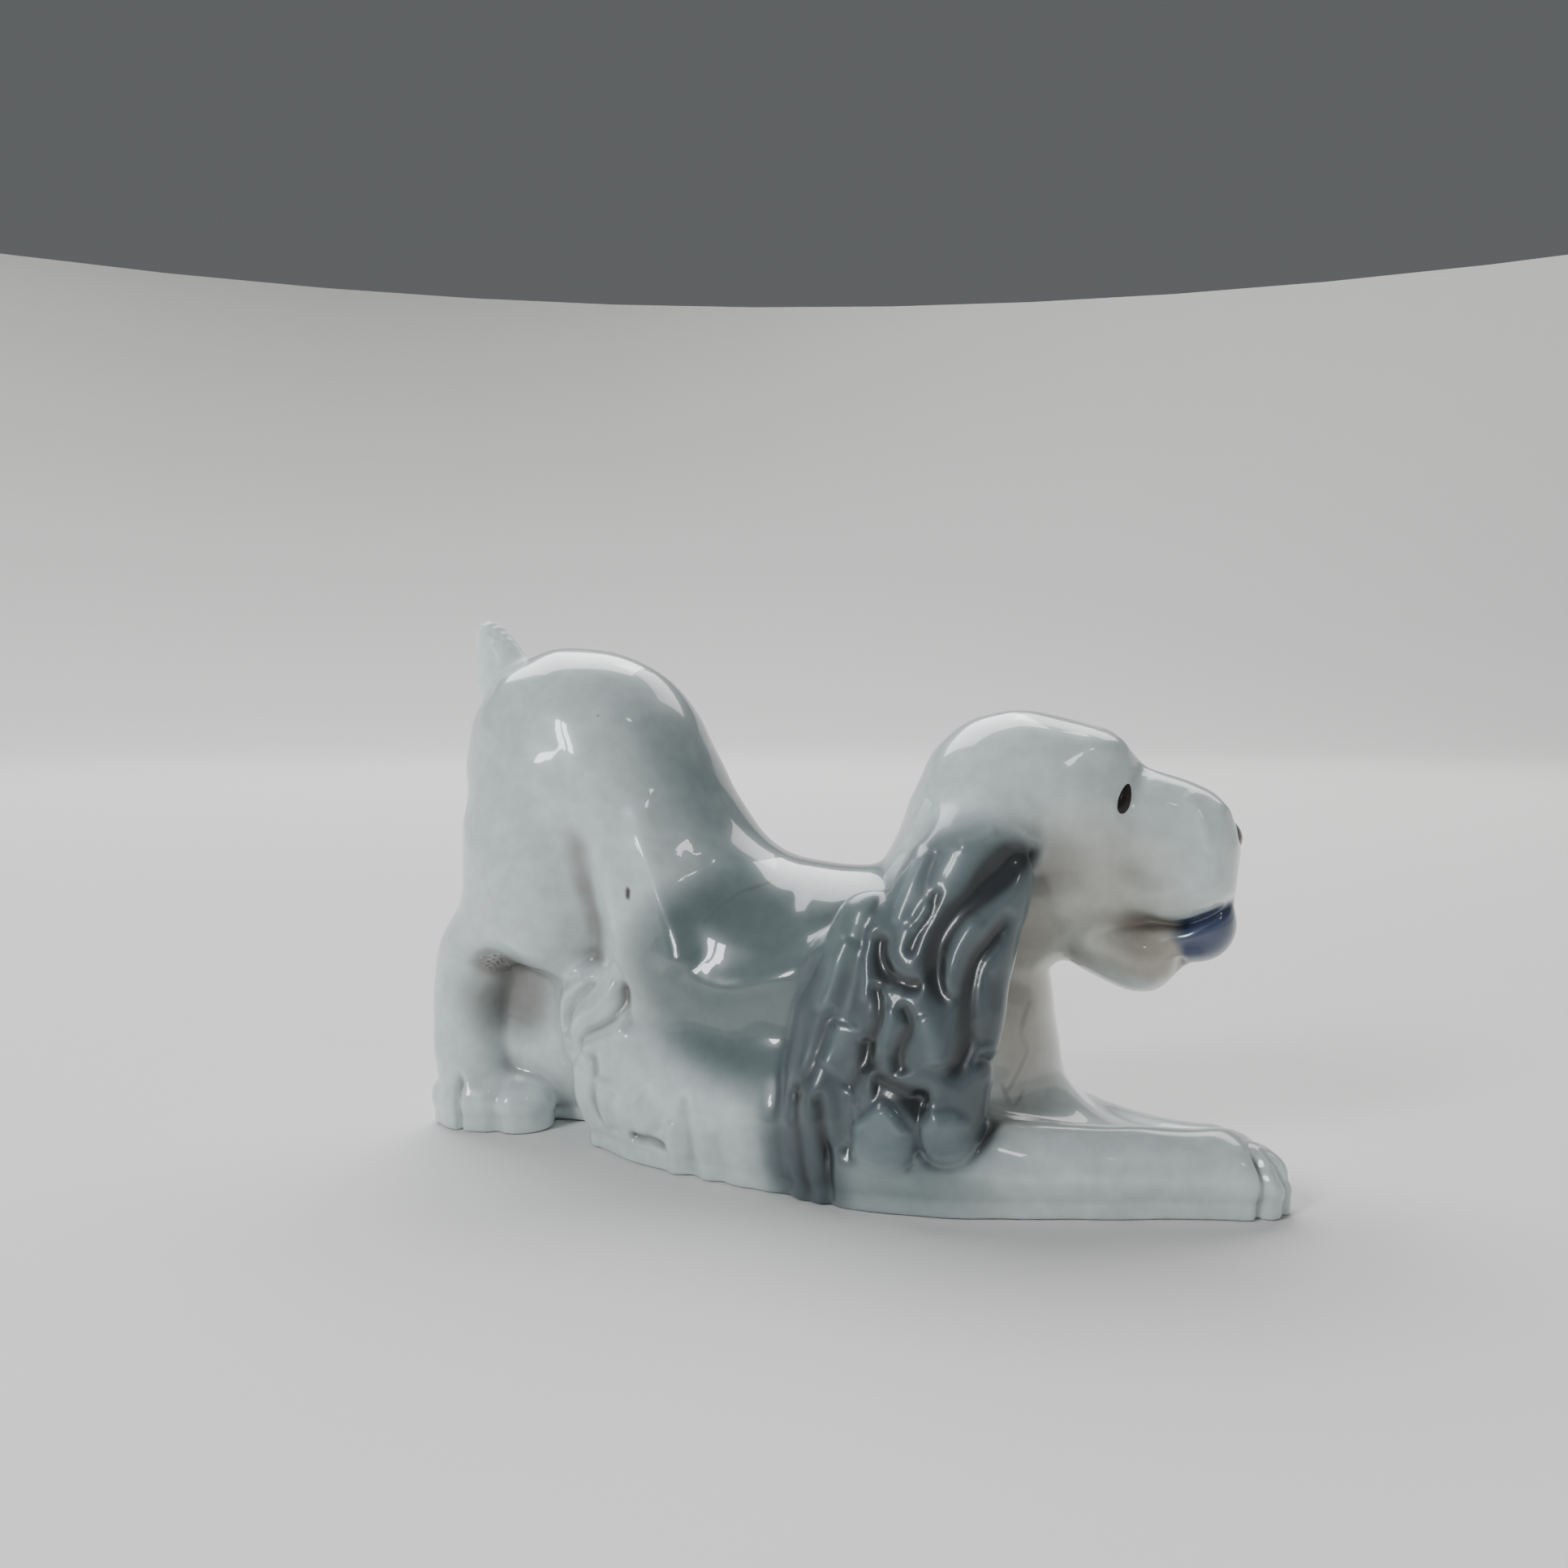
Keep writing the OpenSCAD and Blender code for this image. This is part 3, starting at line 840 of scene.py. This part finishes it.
def paint_head(colour, x, z, on_ear):
    """Painted brown shade at the mouth's corner and behind the cheek, and painted warm shade on the cheek,
    throat and chin.
    """
    low = box("head")[0]
    eye = eye_point()[[0, 2]]
    bare = 1 - on_ear
    # painted shade at the corner of the mouth
    corner = ramp(from_oval(x, z, eye + np.array([0.9, -9.0]), (2.6, 1.6)), 1.3, 0.2)
    colour = mix(colour, PAINTED_SHADE, 0.42 * corner * (x > low[0] + 10))
    # painted warm shade on the cheek
    cheek = ramp(from_oval(x, z, low[[0, 2]] + np.array([15.0, 5.5]), (7.0, 6.5)), 1.25, 0.3)
    colour = mix(colour, WARM_SHADE, 0.70 * cheek * bare)
    # painted shade behind the cheek, in front of the ear
    behind_cheek = ramp(from_oval(x, z, place("right_ear", 1.0, 0, 0.80)[[0, 2]], (3.2, 3.0)), 1.1, 0.2)
    colour = mix(colour, PAINTED_SHADE, 0.60 * behind_cheek * bare)
    # painted warm shade on the throat
    throat = ramp(from_oval(x, z, low[[0, 2]] + np.array([11.5, -1.0]), (3.0, 8.0)), 1.1, 0.4)
    colour = mix(colour, WARM_SHADE, 0.90 * throat * bare)
    # painted warm shade under the chin
    chin = ramp(from_oval(x, z, eye + np.array([2.6, -10.4]), (4.5, 2.2)), 1.2, 0.4)
    return mix(colour, WARM_SHADE, 0.92 * chin)


def paint_marks(colour, x, y, z):
    """The dark speck and the hairlines on the right side."""
    centre = place("torso", 0.375, 0, 0.52)[[0, 2]]
    leaning = x + 0.15 * (z - centre[1])
    speck = ramp(from_oval(leaning, z, centre, (0.22, 0.45)), 1.2, 0.7)
    colour = mix(colour, PIT, speck * (y < 0))
    return mix(colour, PIT, hairlines(x, z) * (y < 0))


# Hairline marks in the glaze of the right side, as fractions of the torso's box
HAIRLINES = [
    [(0.505, 0.47), (0.54, 0.52), (0.58, 0.54), (0.62, 0.565), (0.66, 0.59)],
    [(0.60, 0.575), (0.63, 0.555), (0.66, 0.54)],
    [(0.99, 0.33), (0.985, 0.28), (0.992, 0.24), (0.97, 0.17)],
    [(0.965, 0.19), (0.98, 0.15), (0.99, 0.17)],
]


def hairlines(x, z):
    """How strongly each point is marked by a hairline crack, 0 to 1."""
    mark = np.zeros(x.shape, np.float32)
    for points in HAIRLINES:
        off, along = to_path(x, z, path_in("torso", points))
        uneven = 0.28 + 0.12 * np.sin(9 * along + 7 * points[0][0])
        mark = np.maximum(mark, uneven * ramp(off, 0.18, 0.05))
    return mark


def eye_point():
    low, high = box("right_eye")
    return (low + high) / 2


# ---------------------------------------------------------------- materials

# Roughness, weight and roughness of the clear coat, and depth of the orange peel in metres
GLAZES = {
    "white_glaze": (0.30, 1.0, 0.03, 0.000012),
    "ear_glaze": (0.40, 0.60, 0.10, 0.000012),
    "tongue_glaze": (0.28, 1.0, 0.04, 0.000012),
    "tail_glaze": (0.55, 0.25, 0.20, 0.000030),
}


def shader(name):
    material = bpy.data.materials.new(name)
    material.use_nodes = True
    return material, material.node_tree.nodes, material.node_tree.links


def glazed(name, roughness, coat, coat_roughness, bump):
    """Painted porcelain under a clear glaze, with fine mottling, specks and a faint orange-peel skin."""
    material, node, link = shader(name)
    surface = node["Principled BSDF"]
    coordinates = node.new("ShaderNodeTexCoord")
    paint = node.new("ShaderNodeAttribute")
    paint.attribute_name = "glaze"

    mottle = noise(node, link, coordinates, 900.0, 4.0)
    shade = ramp_node(node, link, mottle.outputs["Fac"], [(0.30, 0.93), (0.70, 1.05)])
    cloud = noise(node, link, coordinates, 160.0, 3.0)
    cloudy = ramp_node(node, link, cloud.outputs["Fac"], [(0.30, 0.96), (0.70, 1.03)])
    colour = multiply(node, link, multiply(node, link, paint.outputs["Color"], shade), cloudy)

    cells = node.new("ShaderNodeTexVoronoi")
    cells.inputs["Scale"].default_value = 260.0
    link.new(coordinates.outputs["Object"], cells.inputs["Vector"])
    dot = ramp_node(node, link, cells.outputs["Distance"], [(0.035, 0.18), (0.060, 1.0)])
    rare = ramp_node(node, link, separate(node, link, cells.outputs["Color"]), [(0.80, 1.0), (0.82, 0.0)])
    specks = node.new("ShaderNodeMath")
    specks.operation = "MAXIMUM"
    link.new(dot, specks.inputs[0])
    link.new(rare, specks.inputs[1])
    colour = multiply(node, link, colour, specks.outputs[0])
    link.new(colour, surface.inputs["Base Color"])

    peel = noise(node, link, coordinates, 1500.0, 2.0)
    wave = noise(node, link, coordinates, 330.0, 1.0)
    total = node.new("ShaderNodeMath")
    total.operation = "MULTIPLY_ADD"
    total.inputs[1].default_value = 0.25
    link.new(peel.outputs["Fac"], total.inputs[0])
    link.new(wave.outputs["Fac"], total.inputs[2])
    relief = node.new("ShaderNodeBump")
    relief.inputs["Strength"].default_value = 1.0
    relief.inputs["Distance"].default_value = bump
    link.new(total.outputs[0], relief.inputs["Height"])
    link.new(relief.outputs["Normal"], surface.inputs["Normal"])
    link.new(relief.outputs["Normal"], surface.inputs["Coat Normal"])

    surface.inputs["Roughness"].default_value = roughness
    surface.inputs["IOR"].default_value = 1.5
    surface.inputs["Coat Weight"].default_value = coat
    surface.inputs["Coat Roughness"].default_value = coat_roughness
    surface.inputs["Coat IOR"].default_value = 1.5
    surface.inputs["Subsurface Weight"].default_value = 0.12
    surface.inputs["Subsurface Radius"].default_value = (1.0, 0.95, 0.9)
    surface.inputs["Subsurface Scale"].default_value = 0.0006
    return material


def noise(node, link, coordinates, scale, detail):
    texture = node.new("ShaderNodeTexNoise")
    texture.inputs["Scale"].default_value = scale
    texture.inputs["Detail"].default_value = detail
    link.new(coordinates.outputs["Object"], texture.inputs["Vector"])
    return texture


def ramp_node(node, link, value, stops):
    """A grey ramp through (position, brightness) pairs."""
    band = node.new("ShaderNodeMapRange")
    (a, low), (b, high) = stops
    band.inputs["From Min"].default_value, band.inputs["From Max"].default_value = a, b
    band.inputs["To Min"].default_value, band.inputs["To Max"].default_value = low, high
    band.interpolation_type = "SMOOTHSTEP"
    link.new(value, band.inputs["Value"])
    return band.outputs["Result"]


def separate(node, link, colour):
    parts = node.new("ShaderNodeSeparateColor")
    link.new(colour, parts.inputs["Color"])
    return parts.outputs["Red"]


def multiply(node, link, colour, value):
    product = node.new("ShaderNodeVectorMath")
    product.operation = "SCALE"
    link.new(colour, product.inputs[0])
    link.new(value, product.inputs["Scale"])
    return product.outputs["Vector"]


def enamel():
    """Black-brown paint laid over the glaze, a little thinner and browner in places."""
    material, node, link = shader("enamel")
    surface = node["Principled BSDF"]
    where = node.new("ShaderNodeTexCoord")
    streaks = noise(node, link, where, 1800.0, 3.0)
    band = node.new("ShaderNodeValToRGB")
    band.color_ramp.elements[0].position, band.color_ramp.elements[0].color = 0.35, (0.004, 0.002, 0.002, 1)
    band.color_ramp.elements[1].position, band.color_ramp.elements[1].color = 0.75, (0.020, 0.007, 0.004, 1)
    link.new(streaks.outputs["Fac"], band.inputs["Fac"])
    link.new(band.outputs["Color"], surface.inputs["Base Color"])
    surface.inputs["Roughness"].default_value = 0.30
    surface.inputs["Coat Weight"].default_value = 0.3
    surface.inputs["Coat Roughness"].default_value = 0.10
    return material


def pale_floor():
    material, node, link = shader("pale_floor")
    node["Principled BSDF"].inputs["Base Color"].default_value = (0.84, 0.83, 0.81, 1)
    node["Principled BSDF"].inputs["Roughness"].default_value = 0.75
    return material


# ---------------------------------------------------------------- painted spots

# Half width, half height and thickness of each spot
SPOTS = {"right_eye": (0.36, 0.95, 0.15), "left_eye": (0.36, 0.95, 0.15), "nose": (1.15, 0.75, 0.18)}
SPOT_REACH = 1.6                         # half the size of the block that a spot is made in
SUNK = 0.18                              # how far a spot goes into the skin
EYE_DROP = 0.2                           # the eyes are painted this much below the CAD's
EYE_SHIFT, EYE_LEAN = 0.20, 0.09         # and a little back, leaning forward at the top


def paint_spot(node, skin):
    """A raised spot of enamel that follows the skin where the CAD puts it, narrower at the top."""
    half_x, half_z, rise = SPOTS[node]
    low, high = box(node)
    middle = (low + high) / 2
    step = VOXEL / 4
    start = middle - SPOT_REACH
    count = int(2 * SPOT_REACH / step)
    index = np.indices((count,) * 3).reshape(3, -1)
    points = (start[:, None] + step * index).T.astype(np.float32)
    depth = skin.sample(points)
    if node == "nose":
        across, up = points[:, 1] - middle[1], points[:, 2] - middle[2]
        facing = points[:, 0] - middle[0]
    else:
        up = points[:, 2] - middle[2] + EYE_DROP
        across = points[:, 0] - middle[0] + EYE_SHIFT - EYE_LEAN * up
        facing = (points[:, 1] - middle[1]) * (1 if node == "left_eye" else -1)
    half = half_x * (1 - 0.25 * up / half_z)
    r = np.hypot(across / half, up / half_z)
    spot = np.maximum(depth - rise * (1 - r * r), (r - 1) * min(half_x, half_z))
    spot = np.maximum(np.maximum(spot, -(depth + SUNK)), -1.3 - facing)
    field = Field(start, step, spot.reshape((count,) * 3).astype(np.float32))
    field.values[[0, -1]] = field.values[:, [0, -1]] = field.values[:, :, [0, -1]] = 1.0
    points, faces = field.mesh()
    obj = new_object(node + "_enamel", settle(field, points), faces)
    obj.data.polygons.foreach_set("use_smooth", np.ones(len(obj.data.polygons), bool))
    drop_crumbs(obj)
    return obj


# ---------------------------------------------------------------- camera, light and floor

CAMERA_AT = Vector((0.0334, -0.0992, 0.0312))
CAMERA_YAW, CAMERA_PITCH = 21.0, -3.26   # degrees to the left of straight across, and up
CAMERA_LENS = 34.66                      # focal length on a sensor 36 mm wide
LIT = Vector((0, 0, 0.015))              # the point that every light is aimed at

# Azimuth from the camera's side towards the head, elevation, distance, size, power and colour
LIGHTS = {
    "pane_a": (-47, 32, 0.60, (0.045, 0.20), 0.8, (0.94, 0.98, 1.0)),
    "pane_b": (-40, 32, 0.60, (0.045, 0.20), 0.8, (0.94, 0.98, 1.0)),
    "overhead": (-160, 50, 1.0, (0.95, 0.65), 11.5, (0.97, 0.99, 1.0)),
    "back": (150, 42, 0.80, (0.45, 0.30), 1.4, (1.0, 0.99, 0.96)),
    "lamp": (40, 52, 0.60, (0.05, 0.05), 0.10, (1.0, 0.98, 0.94)),
}


def look(obj, target):
    obj.rotation_euler = (target - obj.location).to_track_quat("-Z", "Y").to_euler()


def camera():
    """On the dog's right, just ahead of its nose, looking back and slightly down at it."""
    lens = bpy.data.cameras.new("camera")
    lens.sensor_width, lens.lens = 36.0, CAMERA_LENS
    lens.clip_start = 0.005
    eye = bpy.data.objects.new("camera", lens)
    bpy.context.scene.collection.objects.link(eye)
    eye.location = CAMERA_AT
    yaw, pitch = math.radians(CAMERA_YAW), math.radians(CAMERA_PITCH)
    aim = Vector((-math.sin(yaw) * math.cos(pitch), math.cos(yaw) * math.cos(pitch), math.sin(pitch)))
    look(eye, eye.location + aim)
    bpy.context.scene.camera = eye


def softbox(name, azimuth, elevation, distance, size, power, colour):
    """An area light aimed at the dog, in degrees, metres and watts."""
    light = bpy.data.lights.new(name, "AREA")
    light.shape, light.size, light.size_y = "RECTANGLE", size[0], size[1]
    light.energy, light.color = power, colour
    obj = bpy.data.objects.new(name, light)
    bpy.context.scene.collection.objects.link(obj)
    a, e = math.radians(azimuth + CAMERA_YAW - 90.0), math.radians(elevation)
    aim = Vector((math.cos(a) * math.cos(e), math.sin(a) * math.cos(e), math.sin(e)))
    obj.location = LIT + distance * aim
    look(obj, LIT)


def studio():
    """A tall window in two panes to the left, two soft panels high up behind, and a small lamp."""
    for name, settings in LIGHTS.items():
        softbox(name, *settings)
    world = bpy.data.worlds.new("studio")
    bpy.context.scene.world = world
    world.use_nodes = True
    world.node_tree.nodes["Background"].inputs["Color"].default_value = (0.80, 0.83, 0.86, 1)
    world.node_tree.nodes["Background"].inputs["Strength"].default_value = 0.15


def backdrop(floor_radius=0.80, cove=0.35, around=64, steps=10):
    """A pale floor that curves up into a low wall all round, so that every view has the same ground."""
    rings = [(0.3, 0.0), (floor_radius, 0.0)]
    rings += [(floor_radius + cove * math.sin(t), cove * (1 - math.cos(t)))
              for t in np.linspace(0, math.pi / 2, steps)[1:]]
    points = [(r * math.cos(a), r * math.sin(a), h) for r, h in rings
              for a in np.linspace(0, 2 * math.pi, around, endpoint=False)]
    faces = [[i * around + k, i * around + (k + 1) % around,
              (i + 1) * around + (k + 1) % around, (i + 1) * around + k]
             for i in range(len(rings) - 1) for k in range(around)]
    floor = new_object("floor", np.array(points) * MM, np.array(faces))
    middle = bmesh.new()
    middle.from_mesh(floor.data)
    bmesh.ops.holes_fill(middle, edges=[e for e in middle.edges if e.is_boundary and e.verts[0].co.z < 1e-6])
    bmesh.ops.recalc_face_normals(middle, faces=middle.faces)
    middle.to_mesh(floor.data)
    middle.free()
    floor.data.polygons.foreach_set("use_smooth", np.ones(len(floor.data.polygons), bool))
    floor.data.materials.append(pale_floor())


# ---------------------------------------------------------------- the whole

def build():
    nodes = read_all()
    skin = sculpt(nodes)
    pieces = part_along_seams(skin, nodes)
    every_second = np.ascontiguousarray(skin.values[::2, ::2, ::2])
    relief = Field(skin.low, 2 * skin.step, blur(every_second, 0.8 / (2 * skin.step)))
    finishes = {name: glazed(name, *settings) for name, settings in GLAZES.items()}
    finishes["enamel"] = enamel()
    drawings = {node: Drawing(node, ear_relief) for node in ("right_ear", "left_ear")}
    drawings.update({node: Drawing(node, fringe_relief) for node in ("right_feathering", "left_feathering")})
    for node, obj in pieces.items():
        drop_crumbs(obj)
        smooth_normals(obj, skin)
        glaze(obj, nodes, relief, drawings)
    for node in SPOTS:
        pieces[node] = paint_spot(node, skin)
    for node, obj in pieces.items():
        slot = SLOT.get(node, "white_glaze")
        obj.data.materials.clear()
        obj.data.materials.append(finishes[slot])
        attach(obj, "root")
        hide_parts(node)


build()
backdrop()
studio()
camera()
